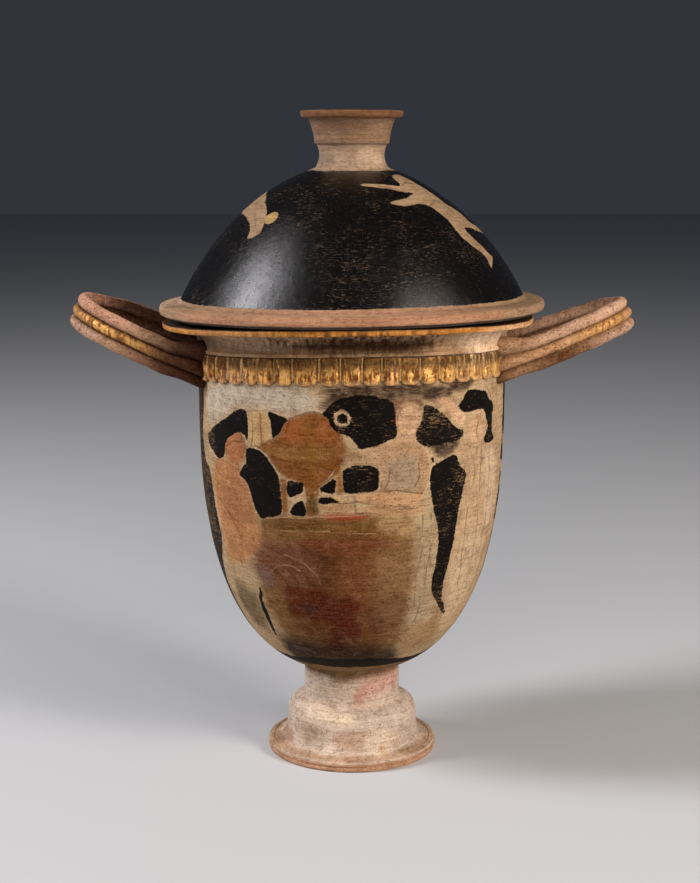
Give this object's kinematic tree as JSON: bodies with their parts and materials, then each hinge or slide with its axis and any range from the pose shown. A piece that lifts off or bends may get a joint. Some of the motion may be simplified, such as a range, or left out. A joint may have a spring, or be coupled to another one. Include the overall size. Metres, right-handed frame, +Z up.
{
  "type": "pyxis",
  "caption": "Lidded cup-shaped clay pyxis on a moulded foot, with loop handles, a gilded tongue band, a domed lid and a painted scene.",
  "frame": {"origin": "centre of the foot's underside, on the surface that the pyxis stands on", "axes": "+Z up, +X towards one handle, -Y towards the side with the painted scene"},
  "size_m": [0.3478, 0.236, 0.4003],
  "materials": {
    "slipped_clay": "fired orange clay under worn cream slip, dark glaze, painted figures and traces of gilding",
    "black_glaze": "dark brown-black glaze, worn and lightly scratched, over fired clay, satin"
  },
  "bodies": {
    "root": {"bowl": "slipped_clay", "lid": "black_glaze"}
  },
  "joints": []
}
